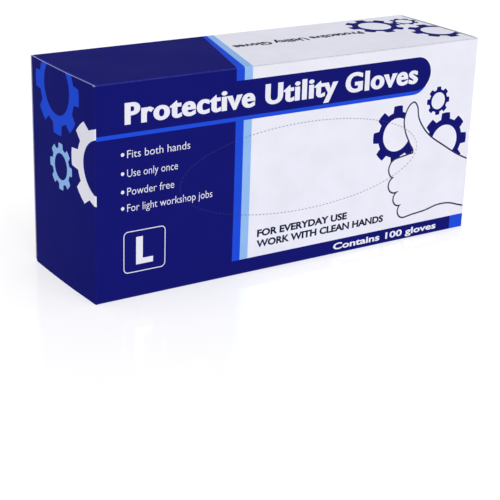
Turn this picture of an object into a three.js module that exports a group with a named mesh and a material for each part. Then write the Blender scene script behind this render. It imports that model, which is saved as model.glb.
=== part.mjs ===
// A folding paperboard carton of one hundred disposable gloves, lying on its long narrow side,
// with a perforated oval cover in its front panel and a tucked closure at each end.
// Millimetres, +Z up, front panel towards -Y. The origin is on the surface that the carton
// stands on, under the middle of the carton.
import * as THREE from "three";

// Driving dimensions.
const LENGTH = 240; // outside, along X
const DEPTH = 70; // outside, along Y
const HEIGHT = 112; // outside, along Z
const BOARD = 0.6; // paperboard thickness
const GAP = 0.3; // clearance between neighbouring sheets
const OVAL = { centreX: 4, centreZ: 54.3, halfLength: 76.5, halfHeight: 24.2, points: 72 };
const PERFORATION = 0.3; // width of the cut line around the oval cover
const CLOSURE = { endInset: 0.5, cornerRadius: 1.2 };
const TUCK = { length: 12.2, cornerRadius: 7, endInset: 4, backClearance: 0.8 };
const DUST = { length: 35, frontInset: 1, backInset: 2, backTaper: 0.2, tipRadius: 4 };
const SEAM = { width: 15, endInset: 3, taper: 6 };
const STACK = { gloves: 100, single: 10, bundle: 10, headspace: 5.5, backspace: 2.2, floor: 3 };
const GLOVE = {
  length: 230, // from cuff to middle fingertip, laid flat
  width: 104, // across the palm, with the thumb folded in
  cuffWidth: 92,
  tips: [206, 223, 230, 221], // from the cuff to the little, ring, middle and index fingertips
  crotch: 152, // from the cuff to the foot of the fingers
  fingerGap: 2.4,
  waist: 0.7, // where the palm reaches its full width, as a share of the crotch distance
  thickness: 0.4,
  bundleCorner: 10,
};

// Places that follow from them.
const frontInner = -DEPTH / 2 + BOARD;
const backInner = DEPTH / 2 - BOARD;
const endOuter = LENGTH / 2;
const endInner = endOuter - BOARD;
const tubeEnd = endInner - GAP;
const closureFront = frontInner + GAP;
const tuckInner = backInner - TUCK.backClearance - BOARD;
const closureBack = tuckInner - GAP;
const stackFront = frontInner + STACK.headspace;
const glovePitch = (backInner - STACK.backspace - stackFront) / STACK.gloves;

const navyBoard = new THREE.MeshStandardMaterial({ color: 0x17187a, roughness: 0.38, metalness: 0 });
const whiteBoard = new THREE.MeshStandardMaterial({ color: 0xe9e9f3, roughness: 0.42, metalness: 0 });
const insideBoard = new THREE.MeshStandardMaterial({ color: 0xd2cec6, roughness: 0.85, metalness: 0 });
const nitrile = new THREE.MeshStandardMaterial({ color: 0x2f74dd, roughness: 0.45, metalness: 0 });

const carton = new THREE.Group();

function polygon(corners) {
  return new THREE.Shape(corners.map(([x, y]) => new THREE.Vector2(x, y)));
}

function roundedRectangle(x0, y0, x1, y1, radius) {
  const quarter = Math.PI / 2;
  const shape = new THREE.Shape();
  shape.absarc(x1 - radius, y0 + radius, radius, -quarter, 0);
  shape.absarc(x1 - radius, y1 - radius, radius, 0, quarter);
  shape.absarc(x0 + radius, y1 - radius, radius, quarter, 2 * quarter);
  shape.absarc(x0 + radius, y0 + radius, radius, 2 * quarter, 3 * quarter);
  shape.closePath();
  return shape;
}

// The oval of the cover in (x, z), grown by an offset.
function oval(offset) {
  const corners = [];
  for (let i = 0; i < OVAL.points; i++) {
    const angle = (2 * Math.PI * i) / OVAL.points;
    corners.push([
      OVAL.centreX + (OVAL.halfLength + offset) * Math.cos(angle),
      OVAL.centreZ + (OVAL.halfHeight + offset) * Math.sin(angle),
    ]);
  }
  return polygon(corners);
}

function sheetMesh(name, shape, thickness, material) {
  const geometry = new THREE.ExtrudeGeometry(shape, {
    depth: thickness,
    bevelEnabled: false,
    curveSegments: 6,
  });
  const mesh = new THREE.Mesh(geometry, material);
  mesh.name = name;
  carton.add(mesh);
  return mesh;
}

// A sheet drawn in (x, z), standing with its front face at y.
function standingSheet(name, shape, y, thickness, material) {
  const mesh = sheetMesh(name, shape, thickness, material);
  mesh.rotation.x = Math.PI / 2;
  mesh.position.y = y + thickness;
  return mesh;
}

// A sheet drawn in (x, y), lying with its underside at z.
function lyingSheet(name, shape, z, thickness, material) {
  const mesh = sheetMesh(name, shape, thickness, material);
  mesh.position.z = z;
  return mesh;
}

// A sheet drawn in (y, z), standing across the carton with its -X face at x.
function crossSheet(name, shape, x, thickness, material) {
  const mesh = sheetMesh(name, shape, thickness, material);
  mesh.rotation.set(Math.PI / 2, 0, Math.PI / 2, "ZYX");
  mesh.position.x = x;
  return mesh;
}

// The four long panels of the tube, and the cover that tears out of the front one.
function buildTube() {
  const face = [[-tubeEnd, 0], [tubeEnd, 0], [tubeEnd, HEIGHT], [-tubeEnd, HEIGHT]];
  const front = polygon(face);
  front.holes.push(oval(PERFORATION / 2));
  standingSheet("front_panel", front, -DEPTH / 2, BOARD, whiteBoard);
  standingSheet("back_panel", polygon(face), backInner, BOARD, whiteBoard);
  standingSheet("tear_out_cover", oval(-PERFORATION / 2), -DEPTH / 2, BOARD, whiteBoard);

  const y0 = frontInner + GAP;
  const y1 = backInner - GAP;
  const side = polygon([[-tubeEnd, y0], [tubeEnd, y0], [tubeEnd, y1], [-tubeEnd, y1]]);
  lyingSheet("top_panel", side, HEIGHT - BOARD, BOARD, whiteBoard);
  lyingSheet("bottom_panel", side, 0, BOARD, whiteBoard);
}

// The flap on the back panel's lower edge, glued to the inside of the bottom panel to close the tube.
function buildSeamFlap() {
  const end = tubeEnd - SEAM.endInset;
  const fold = backInner - GAP;
  const edge = fold - SEAM.width;
  const flap = polygon([[-end + SEAM.taper, edge], [end - SEAM.taper, edge], [end, fold], [-end, fold]]);
  lyingSheet("glue_seam_flap", flap, BOARD + GAP, BOARD, insideBoard);
}

// The panel that closes an end, hinged on the front panel. side is -1 on the left and 1 on the right.
function buildClosure(name, side, material) {
  const shape = roundedRectangle(
    closureFront, CLOSURE.endInset, closureBack, HEIGHT - CLOSURE.endInset, CLOSURE.cornerRadius,
  );
  crossSheet(`${name}_closure_panel`, shape, side < 0 ? -endOuter : endInner, BOARD, material);
}

// The tab on the closure's free edge, tucked in along the inside of the back panel.
function buildTuckTab(name, side) {
  const fold = side * (endInner - GAP);
  const tip = fold - side * TUCK.length;
  const low = CLOSURE.endInset + TUCK.endInset;
  const high = HEIGHT - low;
  const shape = new THREE.Shape();
  shape.moveTo(fold, low);
  shape.lineTo(tip + side * TUCK.cornerRadius, low);
  shape.quadraticCurveTo(tip, low, tip, low + TUCK.cornerRadius);
  shape.lineTo(tip, high - TUCK.cornerRadius);
  shape.quadraticCurveTo(tip, high, tip + side * TUCK.cornerRadius, high);
  shape.lineTo(fold, high);
  standingSheet(`${name}_tuck_tab`, shape, tuckInner, BOARD, insideBoard);
}

// A flap behind the closure. Its front edge runs at 45 degrees from the closure's fold, so that it
// can swing out while the closure opens in front of it.
function buildDustFlap(name, side, fold, inward) {
  const edge = fold + inward * DUST.length;
  const nearEdge = edge - inward * DUST.tipRadius;
  const front = closureFront + DUST.frontInset;
  const frontTip = front + DUST.length;
  const back = tuckInner - DUST.backInset;
  const backTip = back - DUST.backTaper * DUST.length;
  const shape = new THREE.Shape();
  shape.moveTo(front, fold);
  shape.lineTo(frontTip - DUST.tipRadius, nearEdge);
  shape.quadraticCurveTo(frontTip, edge, frontTip + DUST.tipRadius, edge);
  shape.lineTo(backTip - DUST.tipRadius, edge);
  shape.quadraticCurveTo(backTip, edge, backTip + DUST.backTaper * DUST.tipRadius, nearEdge);
  shape.lineTo(back, fold);
  crossSheet(name, shape, side < 0 ? -tubeEnd : tubeEnd - BOARD, BOARD, insideBoard);
}

function buildEnd(name, side, material) {
  buildClosure(name, side, material);
  buildTuckTab(name, side);
  buildDustFlap(`${name}_upper_dust_flap`, side, HEIGHT - BOARD - GAP, -1);
  buildDustFlap(`${name}_lower_dust_flap`, side, BOARD + GAP, 1);
}

// A glove laid flat, drawn from the middle of its cuff towards its fingertips.
function gloveShape() {
  const { width, cuffWidth, tips, crotch, fingerGap, waist } = GLOVE;
  const fingerPitch = width / tips.length;
  const radius = (fingerPitch - fingerGap) / 2;
  const side = (width - fingerGap) / 2;
  const shape = new THREE.Shape();
  shape.moveTo(0, -cuffWidth / 2);
  shape.quadraticCurveTo((waist * crotch) / 2, -cuffWidth / 2, waist * crotch, -side);
  tips.forEach((tip, i) => {
    const middle = fingerPitch * (i + 0.5) - width / 2;
    if (i > 0) {
      shape.lineTo(crotch, middle - radius);
    }
    shape.absarc(tip - radius, middle, radius, -Math.PI / 2, Math.PI / 2);
    if (i < tips.length - 1) {
      shape.lineTo(crotch, middle + radius);
    }
  });
  shape.lineTo(waist * crotch, side);
  shape.quadraticCurveTo((waist * crotch) / 2, cuffWidth / 2, 0, cuffWidth / 2);
  return shape;
}

// A single glove with its front face at y. Every other glove has its cuff to the right.
function buildGlove(name, shape, y, cuffLeft) {
  const mesh = standingSheet(name, shape, y, GLOVE.thickness, nitrile);
  mesh.position.z = STACK.floor + GLOVE.width / 2;
  mesh.position.x = -GLOVE.length / 2;
  if (!cuffLeft) {
    mesh.position.x = GLOVE.length / 2;
    mesh.position.y = y;
    mesh.rotation.set(-Math.PI / 2, 0, Math.PI, "XYZ");
  }
}

// The pile of gloves: the front ones singly, and bundles of ten behind them.
function buildGloves() {
  const shape = gloveShape();
  for (let i = 0; i < STACK.single; i++) {
    const number = String(i + 1).padStart(2, "0");
    buildGlove(`glove_${number}`, shape, stackFront + i * glovePitch, i % 2 === 0);
  }
  const half = GLOVE.length / 2;
  const bundle = roundedRectangle(
    -half, STACK.floor, half, STACK.floor + GLOVE.width, GLOVE.bundleCorner,
  );
  for (let first = STACK.single; first < STACK.gloves; first += STACK.bundle) {
    const name = `gloves_${first + 1}_to_${first + STACK.bundle}`;
    const thickness = STACK.bundle * glovePitch - GAP;
    standingSheet(name, bundle, stackFront + first * glovePitch, thickness, nitrile);
  }
}

buildTube();
buildSeamFlap();
buildEnd("left", -1, navyBoard);
buildEnd("right", 1, whiteBoard);
buildGloves();

export default carton;
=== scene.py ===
# The looks of a folding carton of disposable gloves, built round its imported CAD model.
# Blender works in metres. Panel drawings are in millimetres and are turned into metres by Panel.place.
import math

import bpy
import numpy as np
from mathutils import Matrix, Vector, geometry


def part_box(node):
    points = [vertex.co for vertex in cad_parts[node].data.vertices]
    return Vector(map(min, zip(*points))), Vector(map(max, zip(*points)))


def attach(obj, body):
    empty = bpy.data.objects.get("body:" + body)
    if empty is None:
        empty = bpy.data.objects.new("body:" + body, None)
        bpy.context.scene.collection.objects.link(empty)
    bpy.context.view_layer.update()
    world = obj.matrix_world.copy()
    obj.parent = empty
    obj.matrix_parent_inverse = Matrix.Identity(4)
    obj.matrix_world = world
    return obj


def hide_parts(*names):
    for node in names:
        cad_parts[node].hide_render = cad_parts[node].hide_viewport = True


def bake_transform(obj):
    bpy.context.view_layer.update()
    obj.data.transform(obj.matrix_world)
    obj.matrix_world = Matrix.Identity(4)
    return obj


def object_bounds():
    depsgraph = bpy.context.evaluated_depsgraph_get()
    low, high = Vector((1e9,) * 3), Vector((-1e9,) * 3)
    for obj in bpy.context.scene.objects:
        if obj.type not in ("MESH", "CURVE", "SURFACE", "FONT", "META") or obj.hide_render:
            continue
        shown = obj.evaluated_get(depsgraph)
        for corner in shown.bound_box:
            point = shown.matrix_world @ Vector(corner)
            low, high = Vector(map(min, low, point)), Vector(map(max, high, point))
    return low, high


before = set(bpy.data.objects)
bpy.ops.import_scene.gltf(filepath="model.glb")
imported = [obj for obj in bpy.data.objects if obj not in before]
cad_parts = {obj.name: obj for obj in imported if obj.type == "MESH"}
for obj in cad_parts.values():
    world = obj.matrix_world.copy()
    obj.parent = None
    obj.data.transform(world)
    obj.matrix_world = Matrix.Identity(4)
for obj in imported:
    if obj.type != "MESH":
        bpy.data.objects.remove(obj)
cad_low, cad_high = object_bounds()

MM = 0.001
LENGTH, DEPTH, HEIGHT = (cad_high - cad_low) / MM
HALF_LENGTH = LENGTH / 2
HALF_DEPTH = DEPTH / 2
BOARD = (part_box("front_panel")[1].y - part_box("front_panel")[0].y) / MM
GAP = 0.3  # between neighbouring cut edges, as in the CAD model

FOLD = 0.9  # outer radius of every fold
QUARTER = FOLD * math.pi / 2  # length of board that a fold takes up
FOLD_STEPS = 6
GRID = 12.0  # spacing of the lines that let a panel bow

# ---------------------------------------------------------------------------------------------
# Panels
# ---------------------------------------------------------------------------------------------


def roll(s, start):
    """For a point s along a sheet that folds back after start: (distance along, drop behind, turn)."""
    past = s - start
    if past <= 0:
        return s, 0.0, 0.0
    if past < QUARTER:
        turn = past / FOLD
        return start + FOLD * math.sin(turn), FOLD * (1 - math.cos(turn)), turn
    return start + FOLD, FOLD + past - QUARTER, math.pi / 2


class Panel:
    """A flat side of the carton seen from outside, with u to the right and v up, in millimetres.
    folds says where the sheet rolls back: right and top at a highest u or v, left and bottom at a lowest.
    The last argument says how strong the folds' lines of worn ink and painted shading are, from 0 to 1."""

    def __init__(self, origin, right, up, folds=(), rub_and_shade=1.0):
        self.origin = Vector(origin)
        self.right = Vector(right)
        self.up = Vector(up)
        self.out = self.right.cross(self.up)
        self.folds = dict(folds)
        self.rub_and_shade = rub_and_shade

    def rolled(self, s, low, high):
        """(distance along, drop, turn towards higher s) across one direction of the panel."""
        if high in self.folds and s > self.folds[high]:
            return roll(s, self.folds[high])
        if low in self.folds and s < self.folds[low]:
            along, drop, turn = roll(-s, -self.folds[low])
            return -along, drop, -turn
        return s, 0.0, 0.0

    def place(self, u, v, depth, bow):
        """The point of the sheet at (u, v), depth below its outer face, in metres."""
        across, drop_u, turn_u = self.rolled(u, "left", "right")
        along, drop_v, turn_v = self.rolled(v, "bottom", "top")
        point = self.origin + self.right * (across - depth * math.sin(turn_u))
        point += self.up * (along - depth * math.sin(turn_v))
        below = drop_u + drop_v + depth * math.cos(turn_u) * math.cos(turn_v) - bow
        return (point - self.out * below) * MM

    def fold_lines(self, low_u, high_u, low_v, high_v):
        """The lines across the panel where its folds need edges."""
        lines = []
        for side, start in self.folds.items():
            sign = 1 if side in ("right", "top") else -1
            for s in [start + sign * QUARTER * i / FOLD_STEPS for i in range(FOLD_STEPS + 1)]:
                if side in ("left", "right"):
                    lines.append([(s, low_v), (s, high_v)])
                else:
                    lines.append([(low_u, s), (high_u, s)])
        return lines

    def fold_wear_and_shade(self, u, v):
        """How strong the line of worn ink and painted fold shading is at (u, v), from 0 to 1: most along the
        middle of a fold.
        """
        wear_and_shade = 0.0
        for side, start in self.folds.items():
            s = u if side in ("left", "right") else v
            sign = 1 if side in ("right", "top") else -1
            off = abs(sign * (s - start) / QUARTER - 0.5) * 2
            wear_and_shade = max(wear_and_shade, self.rub_and_shade * (1 - off))
        return wear_and_shade


# ---------------------------------------------------------------------------------------------
# Drawing: a loop is a list of (u, v) points, anticlockwise where it is filled, clockwise for a hole
# ---------------------------------------------------------------------------------------------


def area(loop):
    """The area inside the loop, negative if it runs clockwise."""
    points = np.array(loop)
    following = np.roll(points, -1, 0)
    return float(np.sum(points[:, 0] * following[:, 1] - following[:, 0] * points[:, 1])) / 2


def hole(loop):
    return loop[::-1]


def mirrored(loop):
    """The loop with left and right changed over, in its old direction."""
    return [(-u, v) for u, v in reversed(loop)]


def arc(cx, cy, radius, start, end, steps):
    """Points on a circle from angle start to angle end, in degrees."""
    angles = [math.radians(start + (end - start) * i / steps) for i in range(steps + 1)]
    return [(cx + radius * math.cos(a), cy + radius * math.sin(a)) for a in angles]


def circle(cx, cy, radius, steps=32):
    return arc(cx, cy, radius, 0, 360, steps)[:-1]


def box(u0, v0, u1, v1, radius=0.0):
    """A rectangle between two corners, itself with round corners if a radius is given."""
    if radius == 0:
        return [(u0, v0), (u1, v0), (u1, v1), (u0, v1)]
    loop = arc(u1 - radius, v0 + radius, radius, -90, 0, 6)
    loop += arc(u1 - radius, v1 - radius, radius, 0, 90, 6)
    loop += arc(u0 + radius, v1 - radius, radius, 90, 180, 6)
    loop += arc(u0 + radius, v0 + radius, radius, 180, 270, 6)
    return loop


def capsule(p, q, radius):
    """A round-ended bar from p to q."""
    lean = math.degrees(math.atan2(q[1] - p[1], q[0] - p[0]))
    return arc(*q, radius, lean - 90, lean + 90, 12) + arc(*p, radius, lean + 90, lean + 270, 12)


def curve(points, steps=6):
    """A closed smooth curve through the points."""
    loop = []
    count = len(points)
    for i in range(count):
        p0, p1, p2, p3 = (Vector(points[(i + k) % count]) for k in (-1, 0, 1, 2))
        for step in range(steps):
            t = step / steps
            bend = (p2 - p0) * t
            bend += (2 * p0 - 5 * p1 + 4 * p2 - p3) * t * t
            bend += (3 * p1 - p0 - 3 * p2 + p3) * t**3
            loop.append(tuple(p1 + bend / 2))
    return loop


def gear(cx, cy, hole_radius, tip_radius, turn=0.0, teeth=8):
    """A cog with straight-sided teeth and a round hole."""
    pitch = 360 / teeth
    foot, tip = 0.33 * pitch, 0.23 * pitch  # half a tooth's width where it leaves the ring and at its tip
    ring_radius = (hole_radius + tip_radius) / 2
    loop = []
    for i in range(teeth):
        middle = turn + i * pitch
        loop += arc(cx, cy, ring_radius, middle - pitch / 2, middle - foot, 2)
        loop += arc(cx, cy, tip_radius, middle - tip, middle + tip, 3)
        loop += arc(cx, cy, ring_radius, middle + foot, middle + pitch / 2, 2)[:-1]
    return [loop, hole(circle(cx, cy, hole_radius, 40))]


def grown(loop, across, up=None):
    """The loop moved outwards, by different distances across and up if both are given. A hole closes in."""
    points = np.array(loop)
    before = points - np.roll(points, 1, 0)
    after = np.roll(points, -1, 0) - points
    normals = []
    for edge in (before, after):
        size = np.maximum(np.linalg.norm(edge, axis=1), 1e-9)
        normals.append(np.stack([edge[:, 1], -edge[:, 0]], 1) / size[:, None])
    turn = np.sum(normals[0] * normals[1], 1)
    miter = (normals[0] + normals[1]) / np.maximum(1 + turn, 0.5)[:, None]
    return [tuple(p) for p in points + miter * (across, across if up is None else up)]


def distinct(loop):
    """The loop without points that lie on the one before."""
    kept = [p for i, p in enumerate(loop) if math.dist(p, loop[i - 1]) > 1e-4]
    return kept if len(kept) > 2 else []


def linked(name, data):
    """A new object in the scene."""
    thing = bpy.data.objects.new(name, data)
    bpy.context.scene.collection.objects.link(thing)
    return thing


def glyph_loops(body, steps, spacing=1.0):
    """The outlines of a line of text in Blender's built-in font, one unit high."""
    text = bpy.data.curves.new("lettering", "FONT")
    text.body = body
    text.space_character = spacing
    letters = linked("lettering", text)
    outlines = letters.to_curve(bpy.context.evaluated_depsgraph_get())
    loops = []
    for spline in outlines.splines:
        knots = spline.bezier_points
        loop = []
        for i, knot in enumerate(knots):
            after = knots[(i + 1) % len(knots)]
            straight = knot.handle_right_type == "VECTOR" and after.handle_left_type == "VECTOR"
            count = 2 if straight else steps + 1
            handles = (knot.handle_right, after.handle_left)
            bend = geometry.interpolate_bezier(knot.co, *handles, after.co, count)
            loop += [(p.x, p.y) for p in bend[:-1]]
        loops.append(distinct(loop))
    letters.to_curve_clear()
    bpy.data.objects.remove(letters)
    bpy.data.curves.remove(text)
    return [loop for loop in loops if loop]


def lettering(body, left, base, width, cap, bold=(0, 0), steps=4, spacing=1.0):
    """Text from left, standing on base, fitted to a width and a capital height. bold thickens it that far
    across and up."""
    capital = max(p[1] for loop in glyph_loops("H", 1) for p in loop)
    loops = glyph_loops(body, steps, spacing)
    if area(max(loops, key=lambda loop: abs(area(loop)))) < 0:
        loops = [hole(loop) for loop in loops]
    low = min(p[0] for loop in loops for p in loop)
    high = max(p[0] for loop in loops for p in loop)
    tall = (cap - 2 * bold[1]) / capital
    wide = (width - 2 * bold[0]) / (high - low)
    placed = []
    for loop in loops:
        spread = [(left + bold[0] + (x - low) * wide, base + bold[1] + y * tall) for x, y in loop]
        placed.append(grown(spread, *bold))
    return placed


def turned_over(loops, cu, cv):
    """Loops turned by half a turn about a point."""
    return [[(2 * cu - u, 2 * cv - v) for u, v in loop] for loop in loops]


def winding(points, loops):
    """How many times the loops go round each point."""
    total = np.zeros(len(points), int)
    for loop in loops:
        a = np.array(loop)
        near = np.nonzero(np.all((points >= a.min(0)) & (points <= a.max(0)), axis=1))[0]
        if not len(near):
            continue
        b = np.roll(a, -1, 0)
        x, y = points[near, 0][:, None], points[near, 1][:, None]
        side = (b[:, 0] - a[:, 0]) * (y - a[:, 1]) - (x - a[:, 0]) * (b[:, 1] - a[:, 1])
        rising = (a[:, 1] <= y) & (b[:, 1] > y) & (side > 0)
        falling = (a[:, 1] > y) & (b[:, 1] <= y) & (side < 0)
        total[near] += rising.sum(1) - falling.sum(1)
    return total


# ---------------------------------------------------------------------------------------------
# Materials
# ---------------------------------------------------------------------------------------------


def shader(name):
    """A new material with its node tree, Principled node and a helper that adds nodes."""
    material = bpy.data.materials.new(name)
    material.use_nodes = True
    tree = material.node_tree
    principled = tree.nodes["Principled BSDF"]

    def add(kind, links=(), **settings):
        node = tree.nodes.new(kind)
        for key, value in settings.items():
            setattr(node, key, value)
        for socket, source in dict(links).items():
            if isinstance(source, bpy.types.NodeSocket):
                tree.links.new(source, node.inputs[socket])
            else:
                node.inputs[socket].default_value = source
        return node

    return material, tree, principled, add


def noise_value(add, scale, detail, low, high):
    """Noise in the object's own space, spread from low to high."""
    place = add("ShaderNodeTexCoord")
    noise = add("ShaderNodeTexNoise", {"Vector": place.outputs["Object"], "Scale": scale, "Detail": detail})
    spread = add(
        "ShaderNodeMapRange",
        {"Value": noise.outputs["Fac"], "From Min": 0.3, "From Max": 0.7, "To Min": low, "To Max": high},
    )
    return spread.outputs["Result"]


def bump(add, height, strength, distance, under=None):
    """The normals of a surface with this roughness, added to those of an earlier bump if there is one."""
    links = {"Height": height, "Strength": strength, "Distance": distance}
    if under is not None:
        links["Normal"] = under
    return add("ShaderNodeBump", links).outputs["Normal"]


def mixed(add, share, a, b):
    """The colour between a and b that share says. Each is a value or a socket."""
    mix = add("ShaderNodeMix", data_type="RGBA")
    for socket, value in (("Factor", share), ("A", a), ("B", b)):
        target = next(i for i in mix.inputs if i.name == socket and (socket == "Factor" or i.type == "RGBA"))
        if isinstance(value, bpy.types.NodeSocket):
            mix.id_data.links.new(value, target)
        else:
            target.default_value = value
    return next(o for o in mix.outputs if o.type == "RGBA")


RAW_EDGE = (0.86, 0.86, 0.92, 1)


def printed(name, colour, gloss=0.5, wear_and_shade_colour=RAW_EDGE):
    """Coated board with ink on it: faint mottle, fibres under the coating, and along folds a line that is
    partly worn ink and partly painted shading, a darker painted shade on white and a lighter painted
    highlight on the blues.
    """
    material, tree, principled, add = shader(name)
    dark = (*[c * 0.97 for c in colour], 1)
    light = (*[min(1, c * 1.03) for c in colour], 1)
    mottle = mixed(add, noise_value(add, 60, 5, 0, 1), dark, light)
    worn_and_shaded = add("ShaderNodeAttribute", attribute_name="wear_and_shade")
    rubbed_and_shaded = add(
        "ShaderNodeMath",
        {0: worn_and_shaded.outputs["Fac"], 1: noise_value(add, 900, 3, 0.3, 0.75)},
        operation="MULTIPLY",
        use_clamp=True,
    )
    # Along folds and the perforation the colour turns towards a line that is partly worn ink and partly
    # painted light: painted shade on white, painted highlight on the blues.
    tree.links.new(mixed(add, rubbed_and_shaded.outputs[0], mottle, wear_and_shade_colour), principled.inputs["Base Color"])
    tree.links.new(noise_value(add, 35, 4, gloss - 0.03, gloss + 0.04), principled.inputs["Roughness"])
    fibres = bump(add, noise_value(add, 1500, 4, 0, 1), 0.05, 0.00005)
    waves = bump(add, noise_value(add, 40, 2, 0, 1), 0.06, 0.0004, fibres)
    tree.links.new(waves, principled.inputs["Normal"])
    principled.inputs["Specular IOR Level"].default_value = 0.006
    return material


def bare_board(name, colour, grain):
    """Uncoated board with pulp fibres and specks."""
    material, tree, principled, add = shader(name)
    dark = (*[c * 0.88 for c in colour], 1)
    light = (*colour, 1)
    pulp = mixed(add, noise_value(add, grain, 6, 0, 1), dark, light)
    specks = noise_value(add, 1400, 2, -1.6, 0.5)
    speck = (*[c * 0.55 for c in colour], 1)
    clamp = add("ShaderNodeMath", {0: specks, 1: 0.0}, operation="MAXIMUM", use_clamp=True)
    tree.links.new(mixed(add, clamp.outputs[0], pulp, speck), principled.inputs["Base Color"])
    principled.inputs["Roughness"].default_value = 0.86
    principled.inputs["Specular IOR Level"].default_value = 0.2
    fibres = bump(add, noise_value(add, 900, 5, 0, 1), 0.25, 0.00008)
    tree.links.new(fibres, principled.inputs["Normal"])
    return material


# Colours of the lines along folds and the perforation: partly worn ink, partly painted light, a darker grey
# painted groove shade on white and a lighter painted highlight on navy and on the mid and light blues.
WHITE_WEAR_AND_SHADE = (0.36, 0.36, 0.42, 1)
NAVY_WEAR_AND_HIGHLIGHT = (0.052, 0.056, 0.37, 1)
INKS = {
    "white": printed("coated_white", (0.81, 0.81, 0.91), wear_and_shade_colour=WHITE_WEAR_AND_SHADE),
    "navy": printed("ink_navy", (0.0073, 0.0084, 0.156), wear_and_shade_colour=NAVY_WEAR_AND_HIGHLIGHT),
    "mid_blue": printed("ink_mid_blue", (0.0145, 0.072, 0.69), wear_and_shade_colour=(0.04, 0.11, 0.72, 1)),
    "light_blue": printed("ink_light_blue", (0.285, 0.49, 0.86), wear_and_shade_colour=(0.36, 0.55, 0.88, 1)),
    "dark_text": printed("ink_dark_text", (0.016, 0.016, 0.055)),
    "outline": printed("ink_outline", (0.03, 0.03, 0.08)),
}
INSIDE = bare_board("board_inside", (0.66, 0.64, 0.61), 260)
EDGE = bare_board("board_cut_edge", (0.38, 0.41, 0.76), 600)
# Dark walls for the perforation's slits: a painted shade, since the raw board is pale and the slits look dark
# only from shadow.
SLIT_SHADE = bare_board("board_slit_edge", (0.10, 0.10, 0.26), 600)

# ---------------------------------------------------------------------------------------------
# Board pieces
# ---------------------------------------------------------------------------------------------


def triangles(loops, lines):
    """Points and triangles of a plane divided along the loops and lines."""
    points, edges = [], []
    for loop in loops:
        first = len(points)
        points += loop
        edges += [(first + i, first + (i + 1) % len(loop)) for i in range(len(loop))]
    for a, b in lines:
        edges.append((len(points), len(points) + 1))
        points += [a, b]
    found = geometry.delaunay_2d_cdt([Vector(p) for p in points], edges, [], 0, 1e-5)
    return np.array([tuple(p) for p in found[0]]), np.array([tuple(f) for f in found[2]])


def facing_up(points, faces):
    """The triangles with their corners anticlockwise."""
    a, b, c = (points[faces[:, i]] for i in range(3))
    flipped = np.cross(b - a, c - a) < 0
    faces[flipped] = faces[flipped][:, ::-1]
    return faces


def only_used(points, faces):
    """The points that the triangles use, and the triangles numbered to match."""
    used, numbers = np.unique(faces, return_inverse=True)
    return points[used], numbers.reshape(-1, 3)


def rim_of(faces):
    """The edges that have a triangle on one side only."""
    edges = np.concatenate([faces[:, [0, 1]], faces[:, [1, 2]], faces[:, [2, 0]]]).tolist()
    paired = {tuple(edge) for edge in edges}
    return [(i, j) for i, j in edges if (j, i) not in paired]


def walls_on(rim, count):
    """Walls from the rim to its copy, whose points are numbered count higher."""
    return [(i, i + count, j + count, j) for i, j in rim]


def new_mesh(name, vertices, faces, materials):
    """A mesh with its materials in slots, the first one on every face."""
    mesh = bpy.data.meshes.new(name)
    mesh.from_pydata(vertices, [], faces)
    for material in materials:
        mesh.materials.append(material)
    return mesh


def board(name, panel, outline, layers=(), bow=None, base="white", body="carton", slot="white_board",
          holes=(), wear_and_shade=None, guards=(), blend=None):
    """A piece of board with the drawing let into its outer face, a bare inner face and bare cut edges, except
    the walls of the perforation's slits, which are a dark painted shade.
    layers are (ink, loops), the last one on top. bow(u, v) is how far the board stands proud, and the
    function after the holes says at (u, v) how worn its ink is and how much painted shade and highlight it
    has, up to the guards, which are lines."""
    corners = np.array(outline)
    low, high = corners.min(0) - 1, corners.max(0) + 1
    lines = panel.fold_lines(low[0], high[0], low[1], high[1]) + list(guards)
    for i in range(1, int((high[0] - low[0]) / GRID)):
        lines.append([(low[0] + i * GRID, low[1]), (low[0] + i * GRID, high[1])])
    for i in range(1, int((high[1] - low[1]) / GRID)):
        lines.append([(low[0], low[1] + i * GRID), (high[0], low[1] + i * GRID)])
    drawn = [loop for _, loops in layers for loop in loops]
    points, faces = triangles([outline, *holes, *drawn], lines)

    centres = points[faces].mean(1)
    inside = winding(centres, [outline]) != 0
    if holes:
        inside &= winding(centres, list(holes)) == 0
    faces, centres = facing_up(points, faces[inside]), centres[inside]
    inks = [base]
    ink_of = np.zeros(len(faces), int)
    for ink, loops in layers:
        if ink not in inks:
            inks.append(ink)
        ink_of[winding(centres, loops) != 0] = inks.index(ink)

    points, faces = only_used(points, faces)
    bows = [bow(u, v) if bow else 0.0 for u, v in points]
    vertices = [panel.place(u, v, 0.0, rise) for (u, v), rise in zip(points, bows)]
    vertices += [panel.place(u, v, BOARD, rise) for (u, v), rise in zip(points, bows)]

    rim = rim_of(faces)
    # Walls of the perforation's slits get the dark slit material, a painted shade.
    shaded_slit_walls = [int(wear_and_shade is not None and wear_and_shade(*points[i]) > 0) for i, j in rim]
    inner = (faces[:, ::-1] + len(points)).tolist()
    every_face = faces.tolist() + inner + walls_on(rim, len(points))

    mesh = new_mesh(name, vertices, every_face, [INKS[ink] for ink in inks] + [INSIDE, EDGE, SLIT_SHADE])
    index = ink_of.tolist() + [len(inks)] * len(inner) + [len(inks) + 1 + cut for cut in shaded_slit_walls]
    mesh.polygons.foreach_set("material_index", index)
    # Per point: the line of worn ink and painted shading along folds and beside the perforation.
    worn_and_shaded = [max(panel.fold_wear_and_shade(u, v), wear_and_shade(u, v) if wear_and_shade else 0.0) for u, v in points]
    attribute = mesh.attributes.new("wear_and_shade", "FLOAT", "POINT")
    attribute.data.foreach_set("value", worn_and_shaded + worn_and_shaded)
    mesh.polygons.foreach_set("use_smooth", [True] * len(mesh.polygons))
    mesh.set_sharp_from_angle(angle=math.radians(35))
    mesh.update()

    piece = linked(name, mesh)
    if blend:
        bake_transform(piece)
    else:
        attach(piece, body)
    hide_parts(name.removesuffix("_board"))


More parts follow.
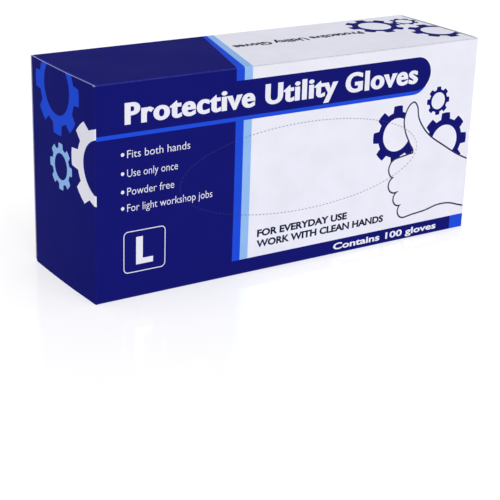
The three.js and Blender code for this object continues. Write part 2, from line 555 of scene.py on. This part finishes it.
# ---------------------------------------------------------------------------------------------
# The drawings
# ---------------------------------------------------------------------------------------------

STRIPE = (-40.3, -35.5, -30.6)  # u of the navy, mid-blue and light-blue areas' right edges in front
LEAN = (-18.0, -15.3, -11.0)  # the same edges where they reach the back
FAR = 200.0  # beyond every panel
TITLE = "Protective Utility Gloves"
TITLE_PLACE = {"left": -103.7, "base": 90.8, "width": 181.5, "cap": 10.8}
TITLE_BAR = {"top": 105.3, "bottom": 86.6, "right": 86.8, "underline": 2.1}
FOOT_BAR = 8.4  # height of the bar along the front's lower edge
MARK = {"wide": 23.9, "high": 22.3, "line": 0.45, "corner": 2.6}  # the size letter's frame
MARK_BASE = 13.6


def bands(at_low, at_high, low, high, sign=1):
    """Navy, mid-blue and light-blue areas whose edges run from at_low, at v = low, to at_high."""
    layers = []
    for ink, a, b in reversed(list(zip(("navy", "mid_blue", "light_blue"), at_low, at_high))):
        reach = (high - low) / 2
        slope = (b - a) / (high - low)
        below, above = a - slope * reach, b + slope * reach
        loop = [
            (-sign * FAR, low - reach), (sign * below, low - reach),
            (sign * above, high + reach), (-sign * FAR, high + reach),
        ]
        layers.append((ink, [loop if sign > 0 else hole(loop)]))
    return layers


def title_bar(drop, sign=1):
    """The title's bar, from beyond the panel's navy edge to its round end. drop lowers its lower edge."""
    top, bottom = TITLE_BAR["top"], TITLE_BAR["bottom"] - drop
    radius = (top - bottom) / 2
    centre = TITLE_BAR["right"] - drop / 2 - radius
    loop = [(-FAR, bottom)] + arc(centre, bottom + radius, radius, -90, 90, 20) + [(-FAR, top)]
    return loop if sign > 0 else mirrored(loop)


def title_layers(sign=1):
    """The title on its bar. A sign of -1 starts it from the panel's right side."""
    left, base, width, cap = TITLE_PLACE.values()
    if sign < 0:
        left = -left - width
    return [
        ("mid_blue", [title_bar(TITLE_BAR["underline"], sign)]),
        ("navy", [title_bar(0, sign)]),
        ("white", lettering(TITLE, left, base, width, cap, (0.85, 0.35), steps=5, spacing=1.12)),
    ]


def size_mark(u, v):
    """A thin round-cornered frame with the size letter in it."""
    wide, high, line, corner = MARK.values()
    stem, foot = 3.8, 3.0  # thickness of the letter's two strokes
    left, low, right, tall = u + 7.1, v + 4.0, u + 16.8, v + 18.7
    letter = [
        (left, low), (right, low), (right, low + foot),
        (left + stem, low + foot), (left + stem, tall), (left, tall),
    ]
    return [
        ("white", [box(u, v, u + wide, v + high, corner)]),
        ("navy", [box(u + line, v + line, u + wide - line, v + high - line, corner - line)]),
        ("white", [letter]),
    ]


def bullet_layers():
    """Four short lines of text, each after a dot: (words, the dot's v, width)."""
    dots, words_left, cap = -104.9, -102.4, 3.9
    layers = []
    rows = (
        ("Fits both hands", 76.0, 35.5),
        ("Use only once", 66.3, 28.5),
        ("Powder free", 56.9, 26.5),
        ("For light workshop jobs", 48.4, 49.0),
    )
    for words, v, width in rows:
        layers.append(("white", [circle(dots, v, 0.95, 14)]))
        layers.append(("white", lettering(words, words_left, v - 2.0, width, cap, (-0.03, -0.03), steps=3)))
    return layers


def fist_loops():
    """A raised thumb with its palm and wrist, as a smooth outline, and four folded fingers, as bars."""
    thumb = [
        (140, 35), (124, 40), (112, 45.3), (100, 52.6), (90.5, 58.8), (84.6, 64.6), (80.6, 71), (79.2, 77.3),
        (76.3, 80.4), (72.4, 77.6), (70.2, 71), (71.6, 64), (75.2, 57), (78, 51.2), (71.5, 45), (69, 30),
        (76, 15.8), (88, 14.8), (99, 16.9), (108, 16.6), (118, 13.6), (140, 8),
    ]
    fingers = [((67.4, 43.6), 5.9), ((66.9, 34.1), 4.9), ((70.6, 25.6), 4.5), ((74.6, 18.0), 4.7)]
    loops = [capsule(tip, (tip[0] + 15, tip[1] + 2.2), radius) for tip, radius in fingers]
    return [curve(thumb)] + loops


def fist_layers():
    """The fist as a dark outline. Its fingers and palm hide each other's lines."""
    line = 0.46  # half the thickness of the outline
    return [
        ("outline", [grown(loop, line) for loop in fist_loops()]),
        ("white", [grown(loop, -line) for loop in fist_loops()]),
    ]


def cogs(ink, *places):
    """Cogs at (u, v, hole radius, tip radius, turn)."""
    return [(ink, gear(*place)) for place in places]


def front_layers():
    layers = bands(STRIPE, STRIPE, 0, HEIGHT)
    layers += title_layers()
    layers += bullet_layers()
    layers += size_mark(-104.5, MARK_BASE)
    layers += cogs("navy", (65.5, 63.2, 9.5, 16.5), (100.4, 54.9, 9.4, 16.6), (93.8, 79.0, 4.8, 8.1))
    layers += fist_layers()
    caption = {"cap": 4.1, "bold": (0.3, 0.22), "steps": 3}
    layers.append(("dark_text", lettering("FOR EVERYDAY USE", -25.0, 19.3, 59.2, **caption)))
    layers.append(("dark_text", lettering("WORK WITH CLEAN HANDS", -25.0, 13.3, 85.0, **caption)))
    layers.append(("navy", [box(-FAR, -FAR, FAR, FOOT_BAR)]))
    layers.append(("mid_blue", [box(110.0, -FAR, FAR, FOOT_BAR)]))
    layers.append(("white", lettering("Contains 100 gloves", 26.0, 2.4, 73.6, 3.9, (0.25, 0.15), steps=3)))
    return layers


def top_layers():
    layers = bands(STRIPE, LEAN, -HALF_DEPTH, HALF_DEPTH)
    words = lettering(TITLE, -15.0, 3.6, 85.0, 6.6, (0.42, 0.4), steps=3, spacing=1.06)
    layers.append(("dark_text", turned_over(words, 26.9, 5.9)))
    return layers + cogs(
        "navy", (85.3, 14.7, 9.5, 16.7, -2.5), (111.2, -10.0, 9.6, 16.7, -2.5), (109.3, 17.8, 5.0, 8.3)
    )


def left_layers():
    """The closure seen from outside. Its front edge is on the right, and cuts through the white cog."""
    layers = cogs("mid_blue", (-4.2, 102.2, 14.1, 24.2))
    layers += cogs("light_blue", (-1.1, 62.2, 6.95, 12.2))
    middle, squash = 71.2, 0.82
    cog = [[(u, middle + (v - middle) * squash) for u, v in loop] for loop in gear(41.9, middle, 18.5, 30.9)]
    return layers + [("white", cog)]


def right_layers():
    """The closure at the unseen end, white like the end of the front panel beside it."""
    layers = cogs("navy", (4.2, 102.2, 14.1, 24.2))
    layers += cogs("mid_blue", (1.1, 62.2, 6.95, 12.2))
    layers.append(("navy", [box(-FAR, -FAR, FAR, FOOT_BAR)]))
    layers.append(("mid_blue", [box(-FAR, -FAR, -24.0, FOOT_BAR)]))
    return layers


def back_layers():
    """The unseen back, with navy on the right, where the top's navy area comes down to it."""
    layers = bands(LEAN, LEAN, 0, HEIGHT, sign=-1)
    layers += title_layers(sign=-1)
    layers += cogs("navy", (-84.0, 52.0, 9.5, 16.3), (-49.0, 40.0, 9.4, 16.0), (-54.0, 66.0, 4.8, 8.1))
    layers += size_mark(82.0, MARK_BASE)
    layers.append(("navy", [box(-FAR, -FAR, FAR, FOOT_BAR)]))
    return layers


def bottom_layers():
    """The underside. Its v runs from the back to the front, so the stripes lean the other way."""
    return bands(LEAN, STRIPE, -HALF_DEPTH, HALF_DEPTH)


# ---------------------------------------------------------------------------------------------
# The carton
# ---------------------------------------------------------------------------------------------

SIDE = HALF_LENGTH - FOLD  # u at which an end's fold starts on the front
END_SIDE = HALF_DEPTH - FOLD  # u at which the front's fold starts on an end
TOP_FOLD = HEIGHT - FOLD  # v at which the top's fold starts on the front and back
LID = HALF_LENGTH - BOARD - GAP  # cut ends of the top and bottom beside the dust flaps
FLAP_FOLD = LID - FOLD  # u at which a dust flap's fold starts
GLUE_GAP = 0.1  # between the two sheets of the glued seam

OVAL_LOW, OVAL_HIGH = (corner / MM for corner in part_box("tear_out_cover"))
OVAL_U = (OVAL_LOW.x + OVAL_HIGH.x) / 2
OVAL_V = (OVAL_LOW.z + OVAL_HIGH.z) / 2
OVAL_A = (OVAL_HIGH.x - OVAL_LOW.x + GAP) / 2
OVAL_B = (OVAL_HIGH.z - OVAL_LOW.z + GAP) / 2
DASH = 2.3  # one cut and one nick of the perforation
CUT_SHARE = 0.42
CUT_POINT = 0.04  # length of a cut's pointed end, as a share of a dash
SLIT = 0.32  # width of a cut
# Strength of the line of worn ink and painted shade beside the perforation.
PERFORATION_WEAR_AND_SHADE = 0.25

FRONT_BOW = 0.5  # how far the pile of gloves presses the front out
END_BOW = 0.35  # how far an end closure bows out half way up, and twice as far at its cut edges
CLOSURE_LOW = 0.15
CLOSURE_HIGH = HEIGHT - 0.05
# How strong the closures' fold lines of worn ink and painted shading are.
CLOSURE_RUB_AND_SHADE = 0.12
SHOULDER = 0.8 * QUARTER  # length of board in the rolled corners beside a tuck tab
TAB_OUT = 0.2  # how far a tuck tab stands outside its solid in the CAD model
TAB_CORNER = 7.0
FLAP_TIP = 4.0  # cut off the free corners of a dust flap
FLAP_TAPER = 0.2  # slope of a dust flap's rear edge


def perforation(side):
    """The oval's edge: cuts that stand off the line by half a slit, outwards or inwards, and nicks on it."""
    fine = np.linspace(0, 2 * math.pi, 4001)
    steps = np.hypot(np.diff(OVAL_A * np.cos(fine)), np.diff(OVAL_B * np.sin(fine)))
    run = np.concatenate([[0], np.cumsum(steps)])
    dashes = round(run[-1] / DASH)
    last = CUT_SHARE - CUT_POINT
    loop = []
    for i in range(dashes):
        for share, off in ((0, 0), (CUT_POINT, 1), (CUT_SHARE / 2, 1), (last, 1), (CUT_SHARE, 0)):
            angle = np.interp((i + share) * run[-1] / dashes, run, fine)
            across, along = math.cos(angle), math.sin(angle)
            away = Vector((OVAL_B * across, OVAL_A * along)).normalized()
            away *= side * off * SLIT / 2
            loop.append((OVAL_U + OVAL_A * across + away.x, OVAL_V + OVAL_B * along + away.y))
    return loop


def oval_distance(u, v):
    """How far a point is from the perforation's line."""
    x, y = (u - OVAL_U) / OVAL_A, (v - OVAL_V) / OVAL_B
    slope = 2 * math.hypot(x / OVAL_A, y / OVAL_B)
    return abs(x * x + y * y - 1) / max(slope, 1e-6)


def perforation_wear_and_shade(u, v):
    """How strong the line of worn ink and painted shade is beside the perforation: darker on white, lighter
    on navy.
    """
    return PERFORATION_WEAR_AND_SHADE if oval_distance(u, v) < SLIT else 0.0


def oval_guards():
    """Lines on both sides of the perforation where the worn ink and painted shade end."""
    lines = []
    for off in (-2 * SLIT, 2 * SLIT):
        loop = [(OVAL_U + (OVAL_A + off) * math.cos(a), OVAL_V + (OVAL_B + off) * math.sin(a))
                for a in np.linspace(0, 2 * math.pi, 121)]
        lines += list(zip(loop, loop[1:]))
    return lines


def front_bow(u, v):
    """The pile of gloves presses the front panel out a little."""
    return FRONT_BOW * max(0, 1 - (u / SIDE) ** 2) * max(0, 1 - ((2 * v - HEIGHT) / HEIGHT) ** 2)


def closure_bow(u, v):
    """An end closure bows out between its folds, most at its cut top and bottom edges."""
    across = max(0, 1 - (u / END_SIDE) ** 2)
    return across * END_BOW * (1 + ((2 * v - HEIGHT) / HEIGHT) ** 2)


def build_front():
    """The front panel and the cover in its oval, both cut from one printed sheet."""
    front = Panel((0, -HALF_DEPTH, 0), (1, 0, 0), (0, 0, 1), {"top": TOP_FOLD, "bottom": FOLD})
    outline = box(-SIDE, FOLD - QUARTER, SIDE, TOP_FOLD + QUARTER)
    layers = front_layers()
    # The perforation gets a line of worn ink and painted shade, and a dark painted shade on its slit walls.
    worn_and_shaded = {"wear_and_shade": perforation_wear_and_shade, "guards": oval_guards()}
    board("front_panel_board", front, outline, layers, front_bow, holes=[perforation(1)], **worn_and_shaded)
    board("tear_out_cover_board", front, perforation(-1), layers, front_bow, body="cover", **worn_and_shaded)


def lid_outline(back):
    """The top or bottom seen from above, up to its back edge. Each end has a step for the dust flap."""
    low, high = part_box("left_upper_dust_flap")
    near, far = low.y / MM, high.y / MM
    right = [(LID, -END_SIDE), (LID, near), (FLAP_FOLD, near), (FLAP_FOLD, far), (LID, far), (LID, back)]
    return right + mirrored(right)


def build_top_and_bottom():
    top = Panel((0, 0, HEIGHT), (1, 0, 0), (0, 1, 0))
    board("top_panel_board", top, lid_outline(END_SIDE), top_layers())
    bottom = Panel((0, 0, 0), (1, 0, 0), (0, -1, 0))
    outline = [(u, -v) for u, v in reversed(lid_outline(HALF_DEPTH - GLUE_GAP))]
    board("bottom_panel_board", bottom, outline, bottom_layers())


def build_back():
    """The back panel and, folded in from its lower edge, the flap of the glued seam."""
    seam = BOARD + GLUE_GAP + FOLD
    low = seam - QUARTER
    side = HALF_LENGTH - GAP
    back = Panel((0, HALF_DEPTH, 0), (-1, 0, 0), (0, 0, 1), {"top": TOP_FOLD, "bottom": seam})
    board("back_panel_board", back, box(-side, low, side, TOP_FOLD + QUARTER), back_layers())
    end, reach, taper = LID - 3, 14, 6
    flap = [(-end + taper, low - reach), (end - taper, low - reach), (end, low), (-end, low)]
    board("glue_seam_flap_board", back, flap, slot="inside_board")


def closure_sheet(rear, tab_low, tab_high):
    """The left closure up to its tab at -rear. Above and below the tab its own shoulders roll in."""
    shoulder = -rear - SHOULDER
    notch = CLOSURE_HIGH - 0.6
    return [
        (shoulder, CLOSURE_LOW), (END_SIDE + QUARTER, CLOSURE_LOW),
        (END_SIDE + QUARTER, notch), (END_SIDE, notch),
        (END_SIDE - 0.5, CLOSURE_HIGH), (shoulder, CLOSURE_HIGH),
        (shoulder, tab_high + GAP), (-rear, tab_high + GAP),
        (-rear, tab_low - GAP), (shoulder, tab_low - GAP),
    ]


def tuck_tab(rear, low, high, reach):
    """The left closure's tab beyond -rear, with rounded free corners."""
    middle = -rear - reach + TAB_CORNER
    tab = [(-rear, low), (-rear, high)]
    tab += arc(middle, high - TAB_CORNER, TAB_CORNER, 90, 180, 8)
    return tab + arc(middle, low + TAB_CORNER, TAB_CORNER, 180, 270, 8)


def build_closure(end, sign, layers, base, slot):
    """A closure and its tab. u runs towards the front on the left end and towards the back on the right."""
    low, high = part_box(f"{end}_tuck_tab")
    rear = high.y / MM + TAB_OUT - FOLD
    folds = {"right": END_SIDE, "left": -rear} if sign < 0 else {"left": -END_SIDE, "right": rear}
    place = Panel((sign * HALF_LENGTH, 0, 0), (0, sign, 0), (0, 0, 1), folds, CLOSURE_RUB_AND_SHADE)
    sheet = closure_sheet(rear, low.z / MM, high.z / MM)
    tab = tuck_tab(rear, low.z / MM, high.z / MM, QUARTER + (high.x - low.x) / MM)
    if sign > 0:
        sheet, tab = mirrored(sheet), mirrored(tab)
    x, inner = sign * HALF_LENGTH * MM, sign * SIDE * MM
    board(f"{end}_closure_panel_board", place, sheet, layers, closure_bow, base, "carton", slot,
          blend=(f"{end}_closure", (inner, cad_low.y, 0), (x, -END_SIDE * MM, 0)))
    board(f"{end}_tuck_tab_board", place, tab, layers, None, base, f"{end}_closure", "inside_board",
          blend=(f"{end}_tuck", (x, rear * MM, 0), (inner, (rear + FOLD) * MM, 0)))


def flap_outline(length, front, back):
    """The corners of a dust flap, each as (distance past the fold, y)."""
    end, tip = QUARTER + length, FLAP_TIP
    back_tip = back - FLAP_TAPER * length
    return [
        (0, front), (QUARTER, front), (end - tip, front + length - tip), (end, front + length + tip),
        (end, back_tip - tip), (end - tip, back_tip + FLAP_TAPER * tip), (QUARTER, back), (0, back),
    ]


def build_dust_flap(end, sign, ink, place, up):
    """A flap on the top (up is 1) or the bottom (up is -1) that folds in behind a closure."""
    node = f"{end}_{place}_dust_flap"
    low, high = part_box(node)
    z = HEIGHT if up > 0 else 0
    panel = Panel((0, 0, z), (1, 0, 0), (0, up, 0), {end: sign * FLAP_FOLD})
    shape = flap_outline((high.z - low.z) / MM, low.y / MM, high.y / MM)
    outline = [(sign * (FLAP_FOLD + s), up * y) for s, y in shape]
    if area(outline) < 0:
        outline = hole(outline)
    board(f"{node}_board", panel, outline, (), None, ink, "carton", "inside_board",
          blend=(f"{end}_{place}_flap", (sign * FLAP_FOLD * MM, 0, z * MM),
                 (sign * LID * MM, 0, (z - up * FOLD) * MM)))


def build_ends():
    build_closure("left", -1, left_layers(), "navy", "navy_board")
    build_closure("right", 1, right_layers(), "white", "white_board")
    for end, sign, ink in (("left", -1, "navy"), ("right", 1, "white")):
        build_dust_flap(end, sign, ink, "upper", 1)
        build_dust_flap(end, sign, ink, "lower", -1)


# ---------------------------------------------------------------------------------------------
# The gloves
# ---------------------------------------------------------------------------------------------

GLOVE_LOW, GLOVE_HIGH = (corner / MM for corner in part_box("glove_01"))
GLOVE_LENGTH = GLOVE_HIGH.x - GLOVE_LOW.x
GLOVE_WIDTH = GLOVE_HIGH.z - GLOVE_LOW.z
GLOVE_PITCH = (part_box("glove_02")[0].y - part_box("glove_01")[0].y) / MM
TIPS = (206.0, 223.0, 230.0, 221.0)  # from the cuff to the little, ring, middle and index fingertips
CROTCH = 152.0
FINGER_GAP = 2.4
CUFF = 92.0
WAIST = 0.7  # where the palm reaches its full width, as a share of the way to the fingers
FILM = 0.34  # thickness of an empty glove laid flat
ROUNDING = 1.4  # how far in from its edge a glove thins
BEAD = 0.5  # thickness of the rolled cuff edge
AIR = 1.0  # how far trapped air lifts the front glove, and its folded thumb again on top of that
THUMB = ((84.0, 33.0), (128.0, 12.0), 11.5)  # the folded thumb's root, tip centre and radius, on the palm
SINGLES = 10
BUNDLE = 10


def smooth(value, low, high):
    """0 below low, 1 above high, and an S-curve between them."""
    share = np.clip((value - low) / (high - low), 0, 1)
    return share * share * (3 - 2 * share)


def glove_outline():
    """A flat glove with its thumb folded in: u from the cuff to the fingertips, v across it."""
    pitch = GLOVE_WIDTH / len(TIPS)
    radius = (pitch - FINGER_GAP) / 2
    side = (GLOVE_WIDTH - FINGER_GAP) / 2
    palm = WAIST * CROTCH
    flare = [(t * palm, -CUFF / 2 - (side - CUFF / 2) * t * t) for t in (0, 0.2, 0.4, 0.6, 0.8, 1)]
    loop = list(flare)
    for i, tip in enumerate(TIPS):
        middle = pitch * (i + 0.5) - GLOVE_WIDTH / 2
        if i > 0:
            loop.append((CROTCH, middle - radius))
        loop += arc(tip - radius, middle, radius, -90, 90, 12)
        if i < len(TIPS) - 1:
            loop.append((CROTCH, middle + radius))
    return loop + [(u, -v) for u, v in reversed(flare)]


def edge_distance(points, loop):
    """How far each point is from the loop."""
    a = np.array(loop)
    b = np.roll(a, -1, 0)
    along = b - a
    share = np.einsum("ijk,jk->ij", points[:, None] - a, along) / np.maximum(np.sum(along**2, 1), 1e-9)
    nearest = a + np.clip(share, 0, 1)[..., None] * along
    return np.linalg.norm(points[:, None] - nearest, axis=2).min(1)


def flat_glove(step, fine):
    """Points, triangles, thickness and lift of a glove laid flat. A fine one has round edges and a thumb."""
    outline = glove_outline()
    loops = [outline]
    if fine:
        thumb = capsule(*THUMB)
        loops += [grown(outline, -ROUNDING / 3), grown(outline, -ROUNDING), thumb, grown(thumb, -ROUNDING)]
    lines = [[(u, -FAR), (u, FAR)] for u in np.arange(step, GLOVE_LENGTH, step)]
    lines += [[(-FAR, v), (FAR, v)] for v in np.arange(step / 2 - GLOVE_WIDTH / 2, GLOVE_WIDTH / 2, step)]
    lines.append([(1.2, -FAR), (1.2, FAR)])  # inside the rolled cuff edge
    points, faces = triangles(loops, lines)
    centres = points[faces].mean(1)
    points, faces = only_used(points, faces[winding(centres, [outline]) != 0])
    faces = facing_up(points, faces)
    thickness = np.full(len(points), FILM)
    lift = np.zeros(len(points))
    if fine:
        distance = edge_distance(points, outline)
        thickness *= np.sqrt(np.clip(1 - (1 - np.minimum(distance / ROUNDING, 1)) ** 2, 0.1, 1))
        root, tip = Vector(THUMB[0]), Vector(THUMB[1])
        way = (points - np.array(root)) @ np.array(tip - root) / (tip - root).length_squared
        inside = winding(points, [thumb]) != 0
        depth = np.where(inside, edge_distance(points, thumb), 0)
        lift = AIR * smooth(distance, 0, 9) + AIR * smooth(depth, 0, ROUNDING) * smooth(way, 0.0, 0.5)
    cuff = np.maximum(thickness, BEAD * smooth(points[:, 0], -0.8, 0.8))
    thickness = np.where(points[:, 0] < 2, cuff, thickness)
    return points, faces, thickness, lift


def wrinkles(x, z):
    """The folds that all the gloves in the pile share, from 0 to 1, over the pile's front."""
    broad = 0.5 + 0.5 * np.sin(0.042 * x + 0.9 * np.sin(0.05 * z + 0.4) + 0.7)
    slanted = 1 - np.abs(np.sin(0.085 * x + 0.060 * z + 1.6 * np.sin(0.037 * z + 0.02 * x + 1.0)))
    crossing = 1 - np.abs(np.sin(-0.062 * x + 0.115 * z + 1.9 * np.sin(0.045 * x)))
    small = 1 - np.abs(np.sin(0.25 * x - 0.10 * z + 2.2 * np.sin(0.07 * z - 0.05 * x)))
    patches = 0.5 + 0.5 * np.sin(0.05 * x - 0.07 * z + 0.5)
    return 0.25 * broad + 0.32 * slanted**2.5 + 0.27 * crossing**3 + 0.16 * patches * small**2


def glove_layer(flat, number, slack, lifted=False):
    """Vertices and faces of one glove of the pile, counted from the front. slack is how far it may wave."""
    points, faces, thickness, lift = flat
    turn = 0.006 * math.sin(7.3 * number)
    shorter = 0.994 + 0.004 * math.sin(4.1 * number)
    u = (points[:, 0] - GLOVE_LENGTH / 2) * shorter
    v = points[:, 1] * shorter
    direction = 1 if number % 2 else -1
    x = direction * (u - v * turn)
    z = v + u * turn + (GLOVE_LOW.z + GLOVE_HIGH.z) / 2 + 0.5 * math.sin(2.7 * number)
    y = GLOVE_LOW.y + FILM / 2 + (number - 1) * GLOVE_PITCH - slack * wrinkles(x, z)
    front = np.stack([x, y - thickness / 2 - (lift if lifted else 0), z], 1)
    back = np.stack([x, y + thickness / 2, z], 1)
    count = len(points)
    skins = faces.tolist() + (faces[:, ::-1] + count).tolist() + walls_on(rim_of(faces), count)
    if direction < 0:
        skins = [face[::-1] for face in skins]
    return np.concatenate([front, back]) * MM, skins


def nitrile():
    """Thin blue nitrile rubber: a soft gloss, fine creases and a fine grip texture."""
    material, tree, principled, add = shader("blue_nitrile")
    deep, pale = (0.008, 0.10, 0.60, 1), (0.030, 0.20, 0.82, 1)
    tree.links.new(mixed(add, noise_value(add, 45, 4, 0, 1), deep, pale), principled.inputs["Base Color"])
    tree.links.new(noise_value(add, 120, 3, 0.22, 0.38), principled.inputs["Roughness"])
    grip = bump(add, noise_value(add, 2600, 2, 0, 1), 0.2, 0.0001)
    creases = bump(add, noise_value(add, 70, 3, 0, 1), 0.8, 0.0022, grip)
    tree.links.new(creases, principled.inputs["Normal"])
    principled.inputs["Specular IOR Level"].default_value = 0.5
    principled.inputs["Sheen Weight"].default_value = 0.1
    principled.inputs["Subsurface Weight"].default_value = 0.08
    principled.inputs["Subsurface Scale"].default_value = 0.002
    return material


def gloves_piece(name, node, layers, material):
    """One piece of the pile, made of one or more gloves."""
    vertices, faces = [], []
    for layer_vertices, layer_faces in layers:
        first = len(vertices)
        vertices += layer_vertices.tolist()
        faces += [[first + i for i in face] for face in layer_faces]
    mesh = new_mesh(name, vertices, faces, [material])
    mesh.polygons.foreach_set("use_smooth", [True] * len(mesh.polygons))
    mesh.update()
    piece = linked(name, mesh)
    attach(piece, "carton")
    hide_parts(node)


def build_gloves():
    """The pile from the front: single gloves, then bundles that wave less and less."""
    material = nitrile()
    fine, plain, coarse = flat_glove(2.5, True), flat_glove(5.0, False), flat_glove(13.0, False)
    for number in range(1, SINGLES + 1):
        flat = fine if number < 3 else plain
        layer = glove_layer(flat, number, slack=2.9 - 0.22 * number, lifted=number == 1)
        gloves_piece(f"glove_{number:02d}_sheet", f"glove_{number:02d}", [layer], material)
    last = 100
    for first in range(SINGLES + 1, last, BUNDLE):
        layers = [glove_layer(coarse, n, slack=0.6 * (last - n) / last) for n in range(first, first + BUNDLE)]
        node = f"gloves_{first}_to_{first + BUNDLE - 1}"
        gloves_piece(f"{node}_sheets", node, layers, material)


build_front()
build_top_and_bottom()
build_back()
build_ends()
build_gloves()

# ---------------------------------------------------------------------------------------------
# Floor, light and camera
# ---------------------------------------------------------------------------------------------


def build_floor():
    """A pale floor that mirrors the box faintly."""
    material, _, principled, _ = shader("pale_floor")
    principled.inputs["Base Color"].default_value = (0.55, 0.55, 0.56, 1)
    principled.inputs["Roughness"].default_value = 0.12
    principled.inputs["Specular IOR Level"].default_value = 0.5
    principled.inputs["Emission Color"].default_value = (1, 1, 1, 1)
    principled.inputs["Emission Strength"].default_value = 0.57
    reach = 3.0
    corners = [(-reach, -reach, 0), (reach, -reach, 0), (reach, reach, 0), (-reach, reach, 0)]
    floor = linked("floor", new_mesh("floor", corners, [(0, 1, 2, 3)], [material]))


SKY = ((0.0, 0.84), (0.15, 0.84), (0.22, 0.44), (0.50, 0.44), (0.70, 0.66), (1.0, 1.0))  # (height, light)


def build_sky():
    """A pale studio that is darker in a band above the horizon and brightest overhead."""
    world = bpy.data.worlds.new("studio")
    bpy.context.scene.world = world
    world.use_nodes = True
    nodes, links = world.node_tree.nodes, world.node_tree.links
    direction = nodes.new("ShaderNodeTexCoord")
    split = nodes.new("ShaderNodeSeparateXYZ")
    ramp = nodes.new("ShaderNodeValToRGB")
    stops = ramp.color_ramp.elements
    for i, (height, light) in enumerate(SKY):
        stop = stops[i] if i < 2 else stops.new(height)
        stop.position = height
        stop.color = (light, light, light, 1)
    links.new(direction.outputs["Generated"], split.inputs[0])
    links.new(split.outputs["Z"], ramp.inputs["Fac"])
    links.new(ramp.outputs["Color"], nodes["Background"].inputs["Color"])


def build_sun():
    """A broad soft light from the front, above."""
    light = bpy.data.lights.new("key", "SUN")
    light.energy = 0.92
    light.angle = math.radians(50)
    lamp = linked("key", light)
    lamp.rotation_euler = Vector((0.03, 0.70, -0.72)).to_track_quat("-Z", "Y").to_euler()


def build_light():
    build_sky()
    build_sun()
    bpy.context.scene.view_settings.view_transform = "Standard"


def build_camera():
    """The photograph's viewpoint: in front, to the left and above."""
    lens_to_frame = 2.7824  # focal length as a share of the frame's width
    position = (-0.4110, -0.6038, 0.2764)
    yaw, pitch, tilt = (math.radians(a) for a in (33.89, 21.05, 1.87))
    camera = bpy.data.cameras.new("camera")
    camera.sensor_width = 36
    camera.lens = lens_to_frame * camera.sensor_width
    eye = linked("camera", camera)
    ahead = Vector((math.sin(yaw) * math.cos(pitch), math.cos(yaw) * math.cos(pitch), -math.sin(pitch)))
    turn = ahead.to_track_quat("-Z", "Y").to_matrix() @ Matrix.Rotation(tilt, 3, "Z")
    eye.matrix_world = Matrix.Translation(position) @ turn.to_4x4()
    bpy.context.scene.camera = eye


build_floor()
build_light()
build_camera()
